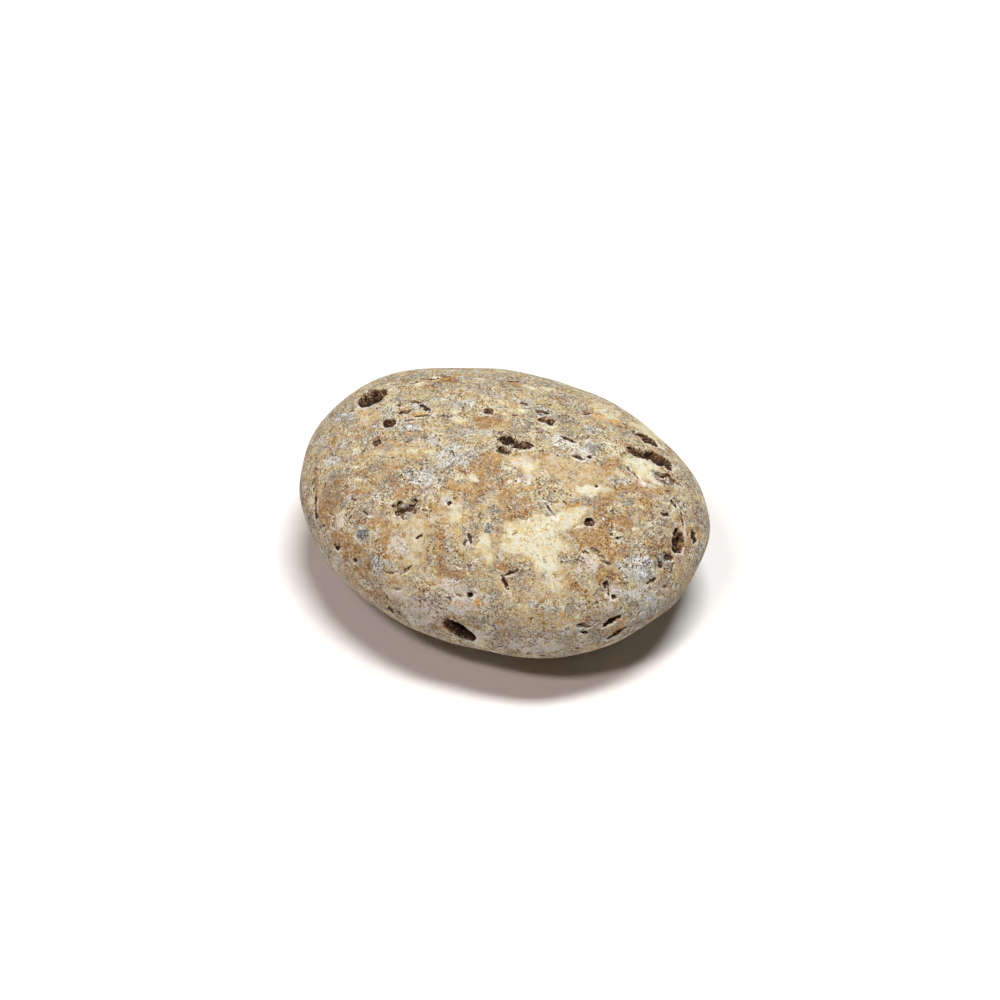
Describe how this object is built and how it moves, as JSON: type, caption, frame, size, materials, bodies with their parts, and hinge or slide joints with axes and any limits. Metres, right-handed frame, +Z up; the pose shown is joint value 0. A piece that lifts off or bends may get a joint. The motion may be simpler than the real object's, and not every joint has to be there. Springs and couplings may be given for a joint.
{
  "type": "rough medicinal stone",
  "caption": "Worn oval pebble of buff, rust-stained porphyry with grey crystals and weathered hollows, resting on a small worn flat.",
  "frame": {"origin": "on the surface that the stone rests on, under the middle of its box", "axes": "+X along the long axis, +Z up from the worn flat"},
  "size_m": [0.0734, 0.0554, 0.0324],
  "materials": {
    "stone": "matte worn porphyry, buff with rust stains and grey-white crystals"
  },
  "bodies": {
    "root": {"stone": "stone"}
  },
  "joints": []
}
